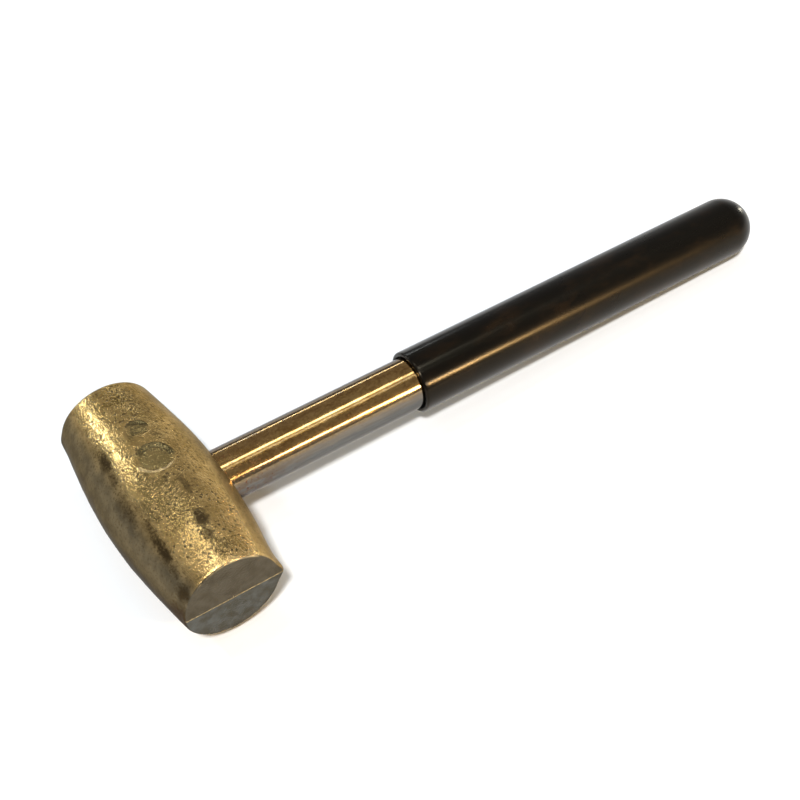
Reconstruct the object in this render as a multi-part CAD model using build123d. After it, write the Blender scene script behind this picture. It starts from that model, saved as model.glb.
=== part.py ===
from build123d import *
import os
from math import asin, atan2, cos, radians, sin, tan

# Soft-faced hammer: a bronze head cast onto a steel pipe handle, with a slip-on vinyl grip.
# Millimetres. The origin is the middle of the head, where the handle's axis crosses the head's.
# +X runs along the handle towards the grip, +Y along the head from face to face, and +Z up,
# square to the parting plane of the mould.

# Head casting: a barrel whose outline is a crown arc, a flatter haunch arc and a straight taper
head_length = 100.0  # from ridge to ridge of the two striking faces
head_mid_radius = 24.05
head_end_radius = 18.85  # where the barrel runs out at the faces
crown_radius = 200.0  # of the arc round the middle, seen from above
crown_reach = 12.0  # how far that arc goes each way from the middle
taper_length = 15.0  # straight cone between the haunch and a face
face_draft = 3.0  # degrees that each half of a face leans back from the parting plane
rim_bevel = 0.9
flash_height = 0.3  # fin left along the ridge of a face, where the mould halves met
flash_width = 0.6

# Pipe handle
pipe_radius = 10.65
pipe_wall = 2.8
far_wall = 9.0  # metal between the pipe's buried end and the far side of the head

# Metal that ran into the pipe and locks the head on
core_length = 26.0  # from the pipe's buried end to the plug that stopped the metal
lock_hole_radius = 4.5
plug_length = 6.0

# Vinyl grip
grip_wall = 2.1
grip_start = 106.7  # from the head's axis to the grip's mouth
grip_length = 173.5  # from the mouth to the tip of the domed end
lip_bevel = 0.7  # on both edges of the mouth

half_length = head_length / 2
bore_radius = pipe_radius - pipe_wall
grip_radius = pipe_radius + grip_wall
pipe_start = far_wall - head_mid_radius
pipe_end = grip_start + grip_length - grip_radius
core_end = pipe_start + core_length
lock_x = pipe_start + core_length / 2


def rod(radius, start, end):
    """Solid round bar on the handle's axis."""
    return Pos((start + end) / 2, 0, 0) * Cylinder(radius, end - start, rotation=(0, 90, 0))


def barrel(extra=0.0):
    """Body of revolution about Y, all its sides further out by extra."""
    mid = head_mid_radius + extra
    end = head_end_radius + extra
    face = half_length + extra
    crown_slope = asin(crown_reach / crown_radius)
    crown_end = mid - crown_radius * (1 - cos(crown_slope))
    # The haunch arc is tangent to the crown's end and to the taper, whose lines meet in a corner.
    corner_y = (crown_reach + face - taper_length) / 2
    corner_r = crown_end - (corner_y - crown_reach) * tan(crown_slope)
    taper_slope = atan2(corner_r - end, face - corner_y)
    tangent_length = (corner_y - crown_reach) / cos(crown_slope)
    taper_start = (corner_r - tangent_length * sin(taper_slope), corner_y + tangent_length * cos(taper_slope))

    crown = ThreePointArc((crown_end, -crown_reach), (mid, 0), (crown_end, crown_reach))
    haunch = TangentArc(crown @ 1, taper_start, tangent=crown % 1)
    side = haunch + Line(taper_start, (end, face)) + Line((end, face), (0, face))
    axis = Line((0, -face), (0, face))
    return revolve(make_face(crown + side + mirror(side, Plane.XZ) + axis), Axis.Y)


def mould_half():
    """The half above the parting plane, with its drafted faces and bevelled rims."""
    top = 2 * head_mid_radius
    lean = top * tan(radians(face_draft))
    corners = [(-half_length, 0), (half_length, 0), (half_length - lean, top), (lean - half_length, top)]
    cavity = extrude(Plane.YZ * Polygon(*corners, align=None), 2 * head_mid_radius, both=True)
    half = barrel() & cavity
    faces = half.faces().sort_by(Axis.Y)
    rims = [face.edges().sort_by(Axis.Z)[-1] for face in (faces[0], faces[-1])]
    return chamfer(rims, rim_bevel)


def face_flash():
    """Fin along the ridge of each face, wrapped over the rims."""
    grown = barrel(extra=flash_height)
    rings = grown.edges().sort_by(Axis.Y)
    grown = chamfer([rings[0], rings[-1]], rim_bevel)
    ends = Pos(0, half_length, 0) * Box(2 * head_mid_radius, 2 * rim_bevel, flash_width)
    return grown & (ends + mirror(ends, Plane.XZ))


def lock_bar():
    """Metal that fills the cross hole drilled through both walls of the buried pipe."""
    bar = Pos(lock_x, 0, 0) * Cylinder(lock_hole_radius, 2 * head_mid_radius)
    return bar & rod(pipe_radius, pipe_start, core_end)


def make_head():
    half = mould_half()
    casting = half + mirror(half, Plane.XY) + face_flash()
    casting -= rod(pipe_radius, pipe_start, 2 * head_mid_radius)
    return casting + rod(bore_radius, pipe_start, core_end) + lock_bar()


def make_handle_pipe():
    return rod(pipe_radius, pipe_start, pipe_end) - rod(bore_radius, pipe_start, pipe_end) - lock_bar()


def make_core_plug():
    """Disc pressed into the pipe, against which the metal stopped."""
    return rod(bore_radius, core_end, core_end + plug_length)


def make_grip():
    """Thick vinyl sleeve that the pipe bottoms in, with a domed end and a bevelled mouth."""
    outside = rod(grip_radius, grip_start, pipe_end) + Pos(pipe_end, 0, 0) * Sphere(grip_radius)
    sleeve = outside - rod(pipe_radius, grip_start, pipe_end)
    mouth = sleeve.faces().filter_by(GeomType.PLANE).sort_by(Axis.X)[0]
    return chamfer(mouth.edges(), lip_bevel)


os.makedirs("parts", exist_ok=True)
nodes = {
    "head": make_head(),
    "handle_pipe": make_handle_pipe(),
    "core_plug": make_core_plug(),
    "grip": make_grip(),
}
for name, solid in nodes.items():
    export_step(solid, f"parts/{name}.step")
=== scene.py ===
from collections import namedtuple
from math import asin, cos, exp, hypot, pi, radians, sin, tan

import bmesh
import bpy
from mathutils import Euler, Matrix, Vector, noise


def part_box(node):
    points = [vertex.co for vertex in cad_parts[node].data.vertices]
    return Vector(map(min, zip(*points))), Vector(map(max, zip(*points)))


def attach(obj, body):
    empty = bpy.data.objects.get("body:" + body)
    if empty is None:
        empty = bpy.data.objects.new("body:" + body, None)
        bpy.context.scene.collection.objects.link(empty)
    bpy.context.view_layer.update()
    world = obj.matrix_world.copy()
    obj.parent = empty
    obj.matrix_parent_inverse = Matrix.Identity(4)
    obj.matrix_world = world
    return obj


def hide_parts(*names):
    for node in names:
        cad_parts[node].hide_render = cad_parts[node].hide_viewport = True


# A soft-faced hammer: cast bronze head, steel pipe handle, black vinyl grip.
# Metres, in the frame of the solids: +X along the handle, +Y along the head, +Z up.
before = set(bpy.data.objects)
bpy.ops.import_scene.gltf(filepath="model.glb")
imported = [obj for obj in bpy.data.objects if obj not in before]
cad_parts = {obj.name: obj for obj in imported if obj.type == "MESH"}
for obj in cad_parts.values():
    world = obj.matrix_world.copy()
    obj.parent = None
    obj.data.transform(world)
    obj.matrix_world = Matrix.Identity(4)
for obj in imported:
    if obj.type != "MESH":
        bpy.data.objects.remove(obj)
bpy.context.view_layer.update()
mm = 0.001

head_low, head_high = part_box("head")
pipe_low, pipe_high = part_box("handle_pipe")
plug_low, plug_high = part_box("core_plug")
grip_low, grip_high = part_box("grip")

flash_height = 0.3 * mm  # how far the flash stands proud of the ridges
head_radius = -head_low.z
half_length = head_high.y - flash_height
end_radius = 18.85 * mm
pipe_radius = pipe_high.z
bore_radius = plug_high.z
grip_radius = grip_high.z

barrel_fall = 6.275 * mm  # how much the barrel's outline drops to its ends as a parabola
barrel_ease = 1.075 * mm  # how much of that the straighter haunches give back
face_lean = tan(radians(3.0))  # draft of each half of a striking face

# Round sinkings in the crown. The edge is the radius round which shade is painted under their far
# half and a highlight on the large one's near half.
Sinking = namedtuple("Sinking", "x y radius depth edge")
LARGE = Sinking(x=0.2 * mm, y=3.0 * mm, radius=6.6 * mm, depth=0.75 * mm, edge=6.8 * mm)
SMALL = Sinking(x=1.2 * mm, y=19.3 * mm, radius=4.1 * mm, depth=0.55 * mm, edge=4.0 * mm)


def barrel_radius(along):
    """Radius of the head's barrel at a distance from its middle."""
    part = min(abs(along) / half_length, 1.0)
    return head_radius - barrel_fall * part ** 2 + barrel_ease * part ** 4


def on_barrel(turn, along):
    """A point of the barrel: degrees round its axis, from +Z towards +X, and mm along it."""
    radius, a = barrel_radius(along * mm), radians(turn)
    return (radius * sin(a), along * mm, radius * cos(a))


# ---------------------------------------------------------------- finishes

class Value:
    """A socket of a finish. Python's operators on it add Math nodes."""

    def __init__(self, finish, socket):
        self.finish = finish
        self.socket = socket

    def _math(self, operation, *terms):
        values = dict(enumerate(terms))
        return self.finish.node("ShaderNodeMath", {"operation": operation}, values)

    def __add__(self, other):
        return self._math("ADD", self, other)

    __radd__ = __add__

    def __sub__(self, other):
        return self._math("SUBTRACT", self, other)

    def __rsub__(self, other):
        return self._math("SUBTRACT", other, self)

    def __mul__(self, other):
        return self._math("MULTIPLY", self, other)

    __rmul__ = __mul__

    def __truediv__(self, other):
        return self._math("DIVIDE", self, other)

    def __rtruediv__(self, other):
        return self._math("DIVIDE", other, self)

    def __pow__(self, other):
        return self._math("POWER", self, other)

    def __abs__(self):
        return self._math("ABSOLUTE", self)

    def most(self, other):
        return self._math("MAXIMUM", self, other)

    def least(self, other):
        return self._math("MINIMUM", self, other)

    def band(self, start, end):
        """0 up to start and 1 from end on, with a smooth step between them."""
        settings = {"interpolation_type": "SMOOTHSTEP"}
        values = {"Value": self, "From Min": start, "From Max": end}
        return self.finish.node("ShaderNodeMapRange", settings, values, "Result")


class Finish:
    """The node tree of one material, or of a world."""

    def __init__(self, name, world=None):
        self.material = world or bpy.data.materials.new(name)
        self.material.use_nodes = True
        self.tree = self.material.node_tree
        if not world:
            self.tree.nodes.clear()
            self.place = self.node("ShaderNodeTexCoord", output="Object")

    def node(self, kind, settings=None, values=None, output=0):
        """Adds a node: its type, its settings, the values or links of its sockets, its output."""
        made = self.tree.nodes.new(kind)
        for name, setting in (settings or {}).items():
            setattr(made, name, setting)
        for name, value in (values or {}).items():
            socket = made.inputs[name]
            if isinstance(value, Value):
                self.tree.links.new(value.socket, socket)
            else:
                socket.default_value = value
        return Value(self, made.outputs[output]) if made.outputs else None

    def axes(self):
        """The three coordinates of a point of the piece, in metres."""
        split = self.node("ShaderNodeSeparateXYZ", values={"Vector": self.place}).socket.node
        return [Value(self, split.outputs[i]) for i in range(3)]

    def stretched(self, scale, place=(0, 0, 0)):
        """Coordinates scaled along each axis and moved, for patterns that are longer one way."""
        values = {"Vector": self.place, "Scale": scale, "Location": place}
        return self.node("ShaderNodeMapping", values=values)

    def noise(self, size, detail=3.0, rough=0.5, where=None):
        """Noise whose blobs are about size across, in metres or in the units of where."""
        values = {"Vector": where or self.place, "Scale": 1 / size, "Detail": detail,
                  "Roughness": rough}
        return self.node("ShaderNodeTexNoise", values=values)

    def shifted(self, size, far):
        """A vector that wanders up to about far each way, to bend a pattern's straight edges."""
        values = {"Vector": self.place, "Scale": 1 / size, "Detail": 1.0}
        wander = self.node("ShaderNodeTexNoise", values=values, output="Color")
        values = {0: wander, 1: (0.5, 0.5, 0.5)}
        centred = self.node("ShaderNodeVectorMath", {"operation": "SUBTRACT"}, values)
        values = {0: centred, "Scale": far * 2}
        return self.node("ShaderNodeVectorMath", {"operation": "SCALE"}, values)

    def cells(self, size, where):
        """Distance to the nearest of scattered points about size apart, in parts of size."""
        values = {"Vector": where, "Scale": 1 / size}
        return self.node("ShaderNodeTexVoronoi", {"feature": "F1"}, values, "Distance")

    def blend(self, mask, first, second):
        """One colour where mask is 0, the other where it is 1."""
        values = {0: mask, 6: colour(first), 7: colour(second)}
        return self.node("ShaderNodeMix", {"data_type": "RGBA"}, values, 2)

    def spot(self, centre, size, ragged):
        """A blotch with ragged edges: 1 in its middle, 0 beyond its size in mm along each axis."""
        values = {0: self.place, 1: centre}
        offset = self.node("ShaderNodeVectorMath", {"operation": "SUBTRACT"}, values)
        values = {0: offset, 1: [1 / (s * mm) for s in size]}
        scaled = self.node("ShaderNodeVectorMath", {"operation": "MULTIPLY"}, values)
        reach = self.node("ShaderNodeVectorMath", {"operation": "LENGTH"}, {0: scaled}, "Value")
        raggedness = 1.8
        return (reach + (ragged - 0.5) * raggedness).band(1.25, 0.30)

    def bump(self, height, depth, under=None):
        """Normals for a height of 0 to 1 that is depth deep, over those of another bump."""
        values = {"Height": height, "Distance": depth, "Strength": 1.0}
        if under:
            values["Normal"] = under
        return self.node("ShaderNodeBump", values=values)

    def surface(self, **values):
        """Ends the tree with one Principled shader, whose sockets are named with underscores."""
        named = {name.replace("_", " "): value for name, value in values.items()}
        shader = self.node("ShaderNodeBsdfPrincipled", values=named)
        self.node("ShaderNodeOutputMaterial", values={"Surface": shader})
        return self.material


def colour(value):
    """A link as it is, and three numbers as an opaque colour."""
    return value if isinstance(value, Value) else (*value, 1.0)


# Colours, and pairs of colours between which a surface is mottled
# The grey skin colours are partly a painted reflection of the floor; the belly colour is painted
# shade.
SKIN_AND_SHADE = (0.118, 0.092, 0.054), (0.175, 0.136, 0.078)
BELLY_SHADE = (0.046, 0.045, 0.043)
SIDE = (0.380, 0.262, 0.112), (0.500, 0.350, 0.158)
METAL = (0.460, 0.295, 0.100), (0.620, 0.410, 0.155)
UPPER_FACE = (0.085, 0.069, 0.046), (0.120, 0.101, 0.072)
LOWER_FACE = (0.088, 0.082, 0.065), (0.140, 0.142, 0.132)
STAIN = (0.048, 0.030, 0.012)
PORE = (0.070, 0.044, 0.017)
DIRT_AND_SHADE = (0.250, 0.190, 0.075)
SINKING_SHADE = (0.085, 0.062, 0.025)
GLINT = (0.850, 0.640, 0.330)
BARE_AND_HIGHLIGHT = (0.850, 0.620, 0.300)

# Painted reflections on the pipe: warm from above, lighter on the sides, shaded below.
WARM_REFLECTION = (0.290, 0.135, 0.020), (0.540, 0.310, 0.098)
FAINT_WARM_REFLECTION = (0.190, 0.120, 0.052), (0.250, 0.180, 0.098)
LIT_ZINC = (0.145, 0.120, 0.090), (0.190, 0.160, 0.124)
SHADED_ZINC = (0.100, 0.097, 0.089), (0.138, 0.133, 0.121)
TARNISH = (0.100, 0.052, 0.020)
RUST = (0.110, 0.035, 0.012)

VINYL = (0.0025, 0.0022, 0.0018), (0.0120, 0.0065, 0.0030)
RUSTY_STEEL = (0.340, 0.330, 0.320), (0.200, 0.090, 0.035)
PAPER = (0.920, 0.920, 0.920)

# Dark stains in the skin of the head, and a few broad, faint darkenings of the crown and of the
# side towards the handle: where, how far each reaches along X, Y and Z in mm, how dark
STAINS = [
    (on_barrel(-38, 15), (2.6, 7, 3.5), 1.0),
    (on_barrel(-40, 6), (2, 6, 3), 0.7),
    (on_barrel(-46, -6), (2.5, 9, 4), 0.45),
    (on_barrel(-39, -21), (1.8, 7, 2.5), 0.6),
    (on_barrel(-42.5, -29.5), (2.3, 8, 3), 1.0),
    (on_barrel(-47, -38), (1.8, 4, 2.5), 0.6),
    (on_barrel(-30, -16), (3.5, 9, 3), 0.4),
    (on_barrel(3, -29), (3.0, 5.5, 3), 1.0),
    (on_barrel(1, -35), (2.2, 4, 3), 0.85),
    (on_barrel(8, -14), (1.5, 8, 3), 0.65),
    (on_barrel(5, -42), (4, 4, 3), 0.45),
    (on_barrel(-8, -8), (6, 1.8, 3), 0.5),
    (on_barrel(-20, -4), (4, 7, 3), 0.4),
    (on_barrel(10, 38), (5, 6, 3), 0.40),
    (on_barrel(22, 34), (12, 15, 9), 0.30),
    (on_barrel(-57, -46), (3, 4, 4), 0.9),
    (on_barrel(-88, -45), (4, 5, 8), 0.65),
    (on_barrel(-3, 18), (1.2, 1.8, 2), 0.8),
    (on_barrel(-10, -16), (11, 15, 6), 0.36),
    (on_barrel(48, 4), (11, 15, 12), 0.30),
    (on_barrel(-36, 19), (4, 6, 4), 0.35),
    ((-18 * mm, -49.5 * mm, 2 * mm), (3, 4, 6), 0.7),
    (on_barrel(-15, 50), (2.5, 1.2, 2), 1.0),
]


def on_top(z):
    """1 on the upper half of the head."""
    return z.band(0, 5 * mm)


def apart(x, y, sinking):
    """Distance from the middle of a round sinking, seen from above."""
    return ((x - sinking.x) ** 2 + (y - sinking.y) ** 2) ** 0.5


def beyond(x, y, sinking):
    """How far behind and to the right of the middle of a sinking."""
    return (y - sinking.y) * 0.9 + (x - sinking.x) * 0.45


def hollow(finish, x, y, z, sinking):
    """1 in a sinking, with a ragged border."""
    ragged = apart(x, y, sinking) + finish.noise(3 * mm, 3.0) * 2 * mm
    inside = ragged.band(sinking.radius + 1.5 * mm, sinking.radius - 1.2 * mm)
    return inside * on_top(z)


def near_edge(x, y, z, sinking):
    """1 on the near half of the edge of a sinking, where a highlight is painted on the large one.
    """
    rim = abs(apart(x, y, sinking) - sinking.edge).band(0.9 * mm, 0.3 * mm)
    return rim * on_top(z) * beyond(x, y, sinking).band(-1 * mm, -4 * mm)


def far_edge(x, y, z, sinking):
    """1 on the wall under the far half of the edge of a sinking, where shade is painted."""
    wall = abs(apart(x, y, sinking) - (sinking.edge - 0.7 * mm)).band(1.4 * mm, 0.8 * mm)
    return wall * on_top(z) * beyond(x, y, sinking).band(0, 3 * mm)


def bronze_finish():
    """Sand-cast bronze with stains in its skin, a worn crown and dull striking faces with ridges
    worn bright, and painted light: a lit crown and side, shaded flanks and belly, glints,
    highlights and shade.
    """
    finish = Finish("cast_bronze")
    x, y, z = finish.axes()
    broad = finish.noise(22 * mm, 4.0)
    mottle = finish.noise(5 * mm, 5.0, 0.6)
    grain = finish.noise(1.1 * mm, 3.0, 0.75)
    aside = finish.stretched((1, 1, 1), (0.3, 0.1, 0.2))
    specks = finish.noise(0.85 * mm, 2.0, 0.6, where=aside)
    bent = finish.node("ShaderNodeVectorMath", {"operation": "ADD"},
                       {0: finish.place, 1: finish.shifted(0.6 * mm, 0.5 * mm)})
    dimples = finish.cells(0.9 * mm, bent).band(0.15, 0.65)

    # The crown is bright metal, the sides are less so, and the flank away from the handle keeps the
    # grey skin of the casting, darkest below. This is partly wear and patina and partly painted
    # light: a painted reflection of the warm light above on the crown and on the side by the
    # handle, a painted reflection of the floor on the grey flank, and painted shade below.
    out = (x * x + z * z) ** 0.5
    uneven = (broad - 0.5) * 0.4 + (mottle - 0.5) * 0.2
    skin = finish.blend(mottle.band(0.35, 0.65), *SKIN_AND_SHADE)
    # Painted shade: the skin darkens towards the bottom of the head.
    skin = finish.blend(z.band(6 * mm, -5 * mm), skin, BELLY_SHADE)
    side = finish.blend(mottle.band(0.35, 0.65), *SIDE)
    metal = finish.blend(mottle.band(0.3, 0.7), *METAL)
    handled_and_lit = ((abs(z) + x * 0.45) / out + uneven).band(0.15, 0.62)
    rubbed_and_lit = (abs(z) / out + uneven * 0.5).band(0.60, 0.88) * handled_and_lit
    body = finish.blend(rubbed_and_lit, finish.blend(handled_and_lit, skin, side), metal)

    # Dark pores of the sand-cast skin, everywhere small and thicker in the stained patches
    patches = finish.noise(11 * mm, 4.0, 0.6, where=finish.stretched((1.6, 0.7, 1.6)))
    stains = patches.band(0.56, 0.72) * 0.4
    drawn_out = finish.noise(1.6 * mm, 4.0, 0.7, where=finish.stretched((1.3, 0.6, 1.3)))
    ragged = mottle * 0.6 + drawn_out * 0.4
    for centre, size, depth in STAINS:
        stains = stains.most(finish.spot(centre, size, ragged) * depth)
    stains = stains * (0.55 + specks * 0.9).least(1.0)
    dense = stains * 0.7 + mottle * 0.5 + broad * 0.3 - 0.4
    pores = specks.band(0.55 - dense * 0.12, 0.65 - dense * 0.12)
    pits = finish.cells(1.9 * mm, bent).band(0.36, 0.22) * rubbed_and_lit * mottle.band(0.36, 0.54)
    darker = finish.blend(stains, body, STAIN)
    holes = (pores * (0.50 + 0.40 * stains)).most(pits * 0.85)
    speckled = finish.blend(holes, darker, PORE)
    # Painted glints: bright specks in the colour of the worn crown stand in for the sparkle of its
    # highlights.
    painted_glints = specks.band(0.42, 0.32) * rubbed_and_lit * (1 - stains)
    glinting = finish.blend(painted_glints * 0.35, speckled, GLINT)

    # Dirt lies in both sinkings, shade is painted on the walls under their far edges, and a
    # highlight is painted on the large one's near edge.
    hollows = hollow(finish, x, y, z, LARGE).most(hollow(finish, x, y, z, SMALL))
    far_wall_shade = far_edge(x, y, z, LARGE).most(far_edge(x, y, z, SMALL))
    dirt_and_shade = hollows.most(far_wall_shade) * 0.60
    with_dirt_and_shade = finish.blend(dirt_and_shade, glinting, DIRT_AND_SHADE)

    # The striking faces are duller and greyer than the barrel, the lower half of each painted
    # greyer as a reflection of the floor.
    # Their ridges are worn bright, and their rims and the ends of the crown by them are bright
    # partly from wear and partly as a painted highlight.
    inset = half_length - abs(z) * face_lean - abs(y)
    # Painted reflection: the lower half of each face is greyer, for the floor mirrored below it.
    upper = finish.blend(mottle.band(0.3, 0.7), *UPPER_FACE)
    lower = finish.blend(mottle.band(0.35, 0.7), *LOWER_FACE)
    face = finish.blend(z.band(0.2 * mm, -0.2 * mm), upper, lower)
    on_face = inset.band(0.55 * mm, 0.25 * mm)
    dull = finish.blend(on_face, with_dirt_and_shade, face)
    ridge = abs(z + (mottle - 0.5) * 0.3 * mm).band(0.34 * mm, 0.12 * mm)
    ridge = ridge * on_face * (0.25 + 0.45 * specks.band(0.60, 0.40))
    crown = (abs(z) / out).band(0.72, 0.84)
    # Partly wear and partly a painted highlight: the rims and the last few mm of the crown by each
    # face are painted bright.
    rim = out.band(17.8 * mm, 18.2 * mm) * inset.band(1.0 * mm, 0.6 * mm) * crown
    worn = inset.band(4.5 * mm, 0.9 * mm) * (1 - on_face) * mottle.band(0.44, 0.60) * crown
    bare_and_highlight = ridge.most(rim * mottle.band(0.45, 0.62) * 0.7).most(worn * (0.25 + painted_glints * 0.5))
    # Painted highlight: the near half of the large sinking's edge is painted bright.
    bare_and_highlight = bare_and_highlight.most(near_edge(x, y, z, LARGE) * mottle.band(0.35, 0.55))
    # Painted shade on the walls under the far edges of the sinkings.
    wall_shaded = finish.blend(far_wall_shade * 0.85, dull, SINKING_SHADE)
    base = finish.blend(bare_and_highlight * 0.85, wall_shaded, BARE_AND_HIGHLIGHT)

    # The grain is coarsest on the crown by the near face.
    gritty = finish.spot(on_barrel(-10, -40), (11, 13, 5), broad)
    height = grain * 0.6 + dimples * 0.4 - specks.band(0.5, 0.7) * 0.3 - pits * 0.4
    height = height * (0.20 + rubbed_and_lit * 0.34 + gritty * 0.42)
    roughness = 0.17 + mottle * 0.06 + (1 - rubbed_and_lit) * 0.15 + stains * 0.10
    return finish.surface(Base_Color=base, Metallic=0.82, Roughness=roughness,
                          Specular_IOR_Level=0.8, Specular_Tint=(0.36, 0.32, 0.27, 1),
                          Normal=finish.bump(height, 0.22 * mm))


def pipe_finish():
    """Zinc-coated drawn tube, painted with a warm reflection on top, lighter sides and darker,
    shaded plating below, and rust by the head.
    """
    finish = Finish("pipe_steel")
    x, y, z = finish.axes()
    mottle = finish.noise(3.5 * mm, 5.0, 0.65, where=finish.stretched((0.5, 1.0, 1.0)))
    fine = finish.noise(1.0 * mm, 4.0, 0.65)
    drawn = finish.noise(1.2 * mm, 3.0, 0.5, where=finish.stretched((0.12, 1.0, 1.0)))

    # Painted reflections: brown-gold on the top of the tube and a little to its front for the warm
    # light mirrored from above, fading to lighter plating round the sides and to darker, shaded
    # plating below.
    # height says how far up and to the front a point faces; the painted reflections follow it.
    height = (z * 0.945 - y * 0.326) / pipe_radius + (mottle - 0.5) * 0.25 + (fine - 0.5) * 0.10
    blotchy = (mottle * 0.6 + fine * 0.4).band(0.34, 0.66)
    warm_reflection = finish.blend(blotchy, *WARM_REFLECTION)
    thin = finish.blend(fine.band(0.3, 0.7), *FAINT_WARM_REFLECTION)
    lit_zinc = finish.blend(drawn.band(0.3, 0.7), *LIT_ZINC)
    shaded_zinc = finish.blend(drawn.band(0.3, 0.7), *SHADED_ZINC)
    warm_top = finish.blend(height.band(0.76, 0.85), thin, warm_reflection)
    lit_and_warm = finish.blend(height.band(0.56, 0.70), lit_zinc, warm_top)
    zinc_and_reflections = finish.blend(height.band(0.34, 0.50), shaded_zinc, lit_and_warm)

    # A tarnished patch and rust freckles, most of them close to the head
    near_head = x.band(60 * mm, 24 * mm)
    patch = mottle.band(0.40, 0.58) * x.band(62 * mm, 26 * mm) * height.band(0.80, 0.45)
    zinc_and_reflections = finish.blend(patch * 0.75, zinc_and_reflections, TARNISH)
    thick = near_head * 0.11
    freckles = finish.noise(1.1 * mm, 3.0, 0.6).band(0.70 - thick, 0.74 - thick)
    base = finish.blend(freckles * 0.8, zinc_and_reflections, RUST)
    scratches = finish.bump(drawn * 0.6 + fine * 0.4 - freckles, 0.003 * mm)
    dents = finish.noise(7 * mm, 2.0, 0.5, where=finish.stretched((0.6, 1.0, 1.0)))
    roughness = 0.11 + drawn * 0.06 + freckles * 0.3
    return finish.surface(Base_Color=base, Metallic=1.0, Roughness=roughness,
                          Specular_Tint=(0.30, 0.28, 0.27, 1), Coat_Weight=0.65,
                          Coat_Roughness=0.07,
                          Normal=finish.bump(dents, 0.05 * mm, under=scratches))


def vinyl_finish():
    """Black dipped vinyl, faintly brown in places and duller away from the mouth."""
    finish = Finish("grip_vinyl")
    mottle = finish.noise(9 * mm, 4.0, 0.6, where=finish.stretched((0.5, 1.0, 1.0)))
    fine = finish.noise(0.8 * mm, 2.0)
    x = finish.axes()[0]
    worn = x.band(grip_low.x, grip_low.x + 90 * mm)
    base = finish.blend(mottle.band(0.45, 0.75), *VINYL)
    return finish.surface(Base_Color=base, Roughness=0.16 + worn * 0.09 + mottle * 0.06,
                          Specular_IOR_Level=0.22, Specular_Tint=(1.0, 0.78, 0.52, 1),
                          Normal=finish.bump(fine, 0.004 * mm))


def plug_finish():
    """Plain steel with some rust."""
    finish = Finish("plug_steel")
    rust = finish.noise(2 * mm, 4.0).band(0.4, 0.65)
    base = finish.blend(rust, *RUSTY_STEEL)
    return finish.surface(Base_Color=base, Metallic=0.9, Roughness=0.45 + rust * 0.2)


# ---------------------------------------------------------------- meshes

PIPE_COUNT = 96  # steps round the pipe's axis


def piece(mesh, name, material, node=None):
    """Turns a finished bmesh into an object, and into a piece if it stands for a solid's node."""
    data = bpy.data.meshes.new(name)
    mesh.to_mesh(data)
    mesh.free()
    data.polygons.foreach_set("use_smooth", [True] * len(data.polygons))
    made = bpy.data.objects.new(name, data)
    bpy.context.scene.collection.objects.link(made)
    made.data.materials.append(material)
    if node:
        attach(made, "root")
        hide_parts(node)
    return made


def turned(profile, axis, steps, closed=False):
    """Spins a chain of (along, radius) points round an axis into one skin that faces outwards."""
    mesh = bmesh.new()
    across = Vector((0, 0, 1))
    chain = [mesh.verts.new(axis * along + across * radius) for along, radius in profile]
    pairs = list(zip(chain, chain[1:])) + ([(chain[-1], chain[0])] if closed else [])
    links = [mesh.edges.new(pair) for pair in pairs]
    bmesh.ops.spin(mesh, geom=chain + links, cent=(0, 0, 0), axis=axis, angle=2 * pi, steps=steps,
                   use_merge=True)
    bmesh.ops.remove_doubles(mesh, verts=mesh.verts, dist=1e-7)
    bmesh.ops.recalc_face_normals(mesh, faces=mesh.faces)
    return mesh


def run(start, end, count):
    """Points evenly spaced from start to end, without the last."""
    return [tuple(a + (b - a) * i / count for a, b in zip(start, end)) for i in range(count)]


def arc(centre, radius, start, end, count):
    """Points on a circle between two angles in degrees, without the last."""
    turns = [radians(start + (end - start) * i / count) for i in range(count)]
    return [(centre[0] + radius * cos(t), centre[1] + radius * sin(t)) for t in turns]


def drafted(point):
    """Leans each half of both faces back from the ridge, and keeps the sides on the barrel."""
    lean = face_lean * abs(point.z) / half_length
    along = point.y * (1 - lean)
    scale = barrel_radius(along) / barrel_radius(point.y)
    return Vector((point.x * scale, along, point.z * scale))


def smoothstep(value, start, end):
    """0 up to start and 1 from end on, with a smooth step between them."""
    part = min(max((value - start) / (end - start), 0.0), 1.0)
    return part * part * (3 - 2 * part)


def bell(distance, width):
    """1 at no distance, falling off to nothing at about twice the width."""
    return exp(-(distance / width) ** 2)


def sunk(point, sinking):
    """Shallow round recess in the crown, with a soft wall and a slightly raised lip."""
    if point.z < 0:
        return 0.0
    radius = sinking.radius
    wander = noise.noise(point / (4 * mm)) * 0.10 * radius
    reach = hypot(point.x - sinking.x, point.y - sinking.y) + wander
    floor = 1 - smoothstep(reach, radius - 1.2 * mm, radius + 0.3 * mm)
    lip = 0.08 * bell(reach - radius - 0.7 * mm, 0.6 * mm)
    return sinking.depth * (lip - floor)


def relief(point):
    """How far the casting's skin stands off the plain drafted barrel, in metres."""
    sides = 1 - smoothstep(abs(point.y), half_length - 2.5 * mm, half_length - 1.5 * mm)
    swell = noise.noise(point / (15 * mm)) * 0.14 + noise.noise(point / (6 * mm)) * 0.07
    sand = noise.noise(point / (1.9 * mm)) * 0.035 + noise.noise(point / (0.9 * mm)) * 0.025
    height = (swell * (0.45 + 0.55 * sides) + sand * (0.5 + 0.5 * sides) - 0.14) * mm
    return height + sunk(point, LARGE) + sunk(point, SMALL)


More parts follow.
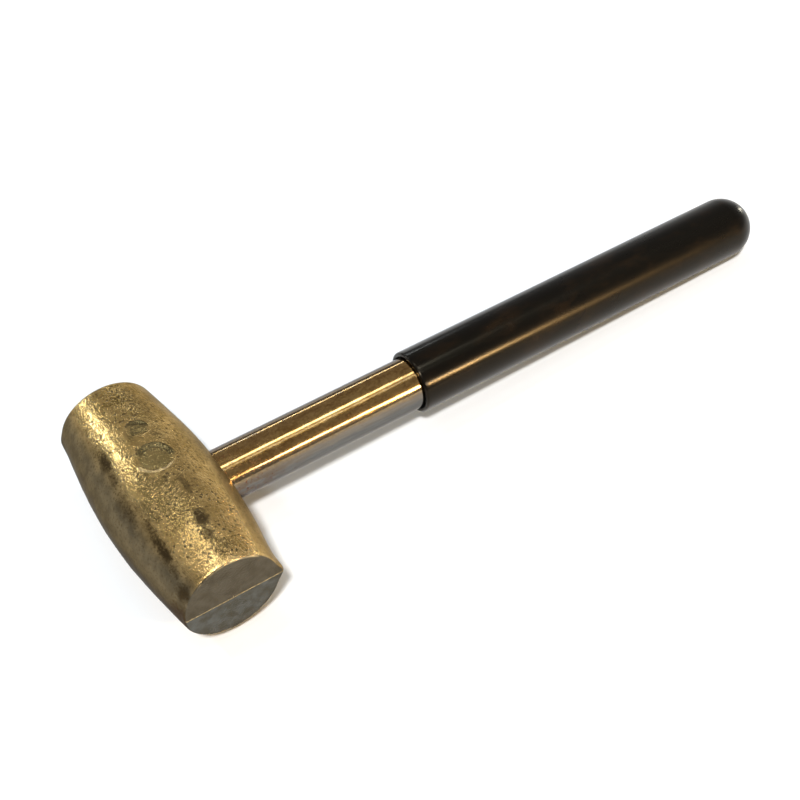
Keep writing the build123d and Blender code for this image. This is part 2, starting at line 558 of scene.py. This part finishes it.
def burr(point):
    """Flash along the ridge of a face: a thin fin that runs over the rim and stops a little way
    onto the barrel.
    """
    out = smoothstep(abs(point.y), half_length - 2.2 * mm, half_length - 1.0 * mm)
    ragged = 0.75 + 0.35 * noise.noise(Vector((point.x / (3 * mm), point.y, 1.7)))
    height, thickness = 0.26 * mm, 0.30 * mm
    fin = height * ragged * bell(point.z, thickness) * out
    direction = Vector((0, 1 if point.y > 0 else -1, 0))
    return direction * fin


def ear(point, x_side, y_side, size):
    """Lump at one end of a ridge, where metal squeezed out between the mould halves."""
    place = Vector((x_side * end_radius, y_side * (half_length - 1.5 * mm), 0))
    gap = point - place
    swell = exp(-(gap.x / (5 * mm)) ** 2 - (gap.y / (5 * mm)) ** 2 - (gap.z / (3.2 * mm)) ** 2)
    return Vector((x_side, 0, 0)) * size * swell


def cut(made, cutter):
    """Takes the cutter's volume out of a piece, and drops the cutter."""
    data = bpy.data.meshes.new("cutter")
    cutter.to_mesh(data)
    cutter.free()
    tool = bpy.data.objects.new("cutter", data)
    bpy.context.scene.collection.objects.link(tool)
    modifier = made.modifiers.new("cut", "BOOLEAN")
    modifier.operation = "DIFFERENCE"
    modifier.solver = "EXACT"
    modifier.object = tool
    bpy.context.view_layer.update()
    whole = made.evaluated_get(bpy.context.evaluated_depsgraph_get())
    result = bpy.data.meshes.new_from_object(whole)
    made.modifiers.remove(modifier)
    made.data = result
    bpy.data.objects.remove(tool)


def clean_mouth(made):
    """Merges the slivers that the cut leaves, and close vertices round the mouth of the socket."""
    mesh = bmesh.new()
    mesh.from_mesh(made.data)
    sliver = 0.003 * mm
    bmesh.ops.remove_doubles(mesh, verts=mesh.verts, dist=sliver)
    mouth = [vert for vert in mesh.verts if vert.co.x > 0.75 * head_radius
             and abs(hypot(vert.co.y, vert.co.z) - pipe_radius) < 0.01 * mm]
    bmesh.ops.remove_doubles(mesh, verts=mouth, dist=0.3 * mm)
    bmesh.ops.dissolve_degenerate(mesh, edges=mesh.edges, dist=sliver)
    mesh.to_mesh(made.data)
    mesh.free()


def make_head():
    """The casting: a turned barrel with drafted faces, relief, flash and a socket for the pipe."""
    rim = 0.9 * mm
    side_count, face_count, rim_count, round_count = 200, 36, 5, 300
    flat = half_length - rim
    edge = end_radius - rim
    chords = run((-flat, 0), (flat, 0), side_count)
    sides = [(along, barrel_radius(along)) for along, _ in chords]
    profile = run((-half_length, 0), (-half_length, edge), face_count)
    profile += arc((-flat, edge), rim, 180, 90, rim_count) + sides
    profile += arc((flat, edge), rim, 90, 0, rim_count)
    profile += run((half_length, edge), (half_length, 0), face_count) + [(half_length, 0)]
    mesh = turned(profile, Vector((0, 1, 0)), round_count)
    for vert in mesh.verts:
        vert.co = drafted(vert.co)
    mesh.normal_update()
    near_ear, far_ear = 1.7 * mm, 0.6 * mm
    moves = [vert.normal * relief(vert.co) + burr(vert.co) + ear(vert.co, 1, -1, near_ear)
             + ear(vert.co, -1, 1, far_ear) for vert in mesh.verts]
    for vert, move in zip(mesh.verts, moves):
        vert.co += move
    made = piece(mesh, "head_casting", bronze_finish(), "head")
    core_end, outside = plug_low.x, 2 * head_radius
    socket = [(pipe_low.x, bore_radius), (pipe_low.x, pipe_radius), (outside, pipe_radius),
              (outside, 0), (core_end, 0), (core_end, bore_radius)]
    cut(made, turned(socket, Vector((1, 0, 0)), PIPE_COUNT, closed=True))
    clean_mouth(made)


def make_grip():
    """The sleeve, with a rounded mouth and a domed end, open inside as far as the pipe reaches."""
    start, end = grip_low.x, grip_high.x - grip_radius
    lip = 1.0 * mm
    inside_count, lip_count, side_count, dome_count = 40, 12, 120, 24
    profile = [(end, 0)] + run((end, pipe_radius), (start + lip, pipe_radius), inside_count)
    profile += arc((start + lip, grip_radius - lip), lip, 270, 90, lip_count)
    profile += run((start + lip, grip_radius), (end, grip_radius), side_count)
    profile += arc((end, 0), grip_radius, 90, 0, dome_count) + [(end + grip_radius, 0)]
    mesh = turned(profile, Vector((1, 0, 0)), PIPE_COUNT)
    piece(mesh, "grip_sleeve", vinyl_finish(), "grip")


make_head()
make_grip()
for node, finish in (("handle_pipe", pipe_finish()), ("core_plug", plug_finish())):
    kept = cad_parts[node]
    kept.data.materials.clear()
    kept.data.materials.append(finish)


# ---------------------------------------------------------------- floor, light and camera

def backdrop_rays(finish):
    """1 for the camera's rays and for those that a piece mirrors or lets by."""
    rays = finish.node("ShaderNodeLightPath").socket.node
    seen = Value(finish, rays.outputs["Is Camera Ray"])
    for kind in ("Is Glossy Ray", "Is Transmission Ray"):
        seen = seen.most(Value(finish, rays.outputs[kind]))
    return seen


def make_floor():
    """A plane, half_size each way, that the head's belly and the grip's domed end both touch."""
    half_size = 20.0
    reach = grip_high.x - grip_radius
    tilt = asin((head_radius - grip_radius) / reach)
    up = Vector((-sin(tilt), 0, cos(tilt)))
    mesh = bmesh.new()
    bmesh.ops.create_grid(mesh, x_segments=1, y_segments=1, size=half_size)
    turn = Vector((0, 0, 1)).rotation_difference(up).to_matrix()
    bmesh.ops.rotate(mesh, verts=mesh.verts, cent=(0, 0, 0), matrix=turn)
    bmesh.ops.translate(mesh, verts=mesh.verts, vec=-up * head_radius)
    finish = Finish("pale_floor")
    paper = finish.node("ShaderNodeBsdfDiffuse", values={"Color": colour(PAPER)})
    finish.node("ShaderNodeOutputMaterial", values={"Surface": paper})
    floor = piece(mesh, "floor", finish.material)


WHITE = (1, 1, 1)
COOL = (0.78, 0.91, 1.0)
SUBJECT = (0.06, 0, 0)  # what the lamps face


def towards(azimuth, elevation, distance, start=SUBJECT):
    """A place seen from start at two angles in degrees and a distance."""
    a, e = radians(azimuth), radians(elevation)
    return Vector(start) + distance * Vector((cos(e) * cos(a), cos(e) * sin(a), sin(e)))


def lamp(name, middle, along, size, power, tint):
    """A flat lamp: size is its length along one direction and its width, in metres."""
    light = bpy.data.lights.new(name, "AREA")
    light.shape = "RECTANGLE"
    light.size, light.size_y = size
    light.energy = power
    light.color = tint
    made = bpy.data.objects.new(name, light)
    back = (Vector(middle) - Vector(SUBJECT)).normalized()
    side = Vector(along).normalized()
    side = (side - back * side.dot(back)).normalized()
    turn = Matrix((side, back.cross(side), back)).transposed()
    made.matrix_world = Matrix.Translation(Vector(middle)) @ turn.to_4x4()
    bpy.context.scene.collection.objects.link(made)


def window(name, azimuth, elevation, spread, strength):
    """The even main light: where it stands and how wide it looks, in degrees, and its strength."""
    light = bpy.data.lights.new(name, "SUN")
    light.energy = strength
    light.angle = radians(spread)
    made = bpy.data.objects.new(name, light)
    back = towards(azimuth, elevation, 1.0, start=(0, 0, 0))
    made.rotation_euler = back.to_track_quat("Z", "Y").to_euler()
    bpy.context.scene.collection.objects.link(made)


# Flat lamps: name, middle, direction of the length, length and width, power in watts, tint
LAMPS = [
    ("overhead", (0.70, -0.19, 2.03), (1, 0, 0), (0.42, 0.24), 3.2, COOL),
    ("overhead_front", (0.70, -0.55, 1.92), (1, 0, 0), (0.42, 0.44), 0.5, COOL),
    ("overhead_edge", (0.70, -0.80, 1.88), (1, 0, 0), (0.42, 0.05), 0.38, COOL),
    ("back_left", towards(116, 27, 2.2, (0, 0.02, 0)), (-0.085, -0.196, 0.239),
     (0.60, 0.10), 10.0, COOL),
    ("ceiling_strip", towards(106, 77, 2.2, (0, 0, 0)), (0.64, 0.138, -0.024),
     (1.1, 0.10), 8.4, COOL),
    ("front_strip", (0.385, -0.80, 0.335), (1, 0, -0.15), (0.24, 0.06), 1.2, (1.0, 0.95, 0.88)),
    ("mouth_strip", (0.49, -0.80, 0.26), (1, 0, -0.15), (0.10, 0.05), 3.2, (1.0, 0.76, 0.42)),
    ("front_tail", (0.62, -0.80, 0.23), (1, 0, -0.35), (0.13, 0.06), 0.30, (1.0, 0.70, 0.34)),
    ("back_strip", (0.43, 1.0, 0.37), (1, 0, 0.35), (0.28, 0.035), 0.40, COOL),
    ("reflector", towards(37, 12, 1.5), (-0.6, 0.8, 0), (0.8, 0.5), 0.6, WHITE),
    ("side_spot", towards(14, 3, 1.2, (0.28, 0, 0)), (0, 1, 0), (0.06, 0.06), 2.2,
     (1.0, 0.98, 0.84)),
]

make_floor()
window("window", -127, 60, 7, 2.9)
for row in LAMPS:
    lamp(*row)

# A grey room: seen and mirrored at full strength, but it lights the floor and the pieces little
room_light, room_shown = 0.06, 0.30
world = bpy.data.worlds.new("studio")
bpy.context.scene.world = world
world.use_nodes = True
sky = world.node_tree.nodes["Background"]
sky.inputs["Color"].default_value = (0.92, 0.95, 1.0, 1)
shown = backdrop_rays(Finish("sky", world)) * (room_shown - room_light) + room_light
world.node_tree.links.new(shown.socket, sky.inputs["Strength"])

camera_data = bpy.data.cameras.new("camera")
camera_data.lens = 67.389
camera_data.sensor_width = 36.0
camera_data.clip_end = 50.0
camera = bpy.data.objects.new("camera", camera_data)
camera.location = (-0.111192, -0.333080, 0.430336)
camera.rotation_euler = Euler([radians(a) for a in (42.1125, 0.8034, -33.5352)], "XYZ")
bpy.context.scene.collection.objects.link(camera)
bpy.context.scene.camera = camera
bpy.context.scene.view_settings.view_transform = "Standard"
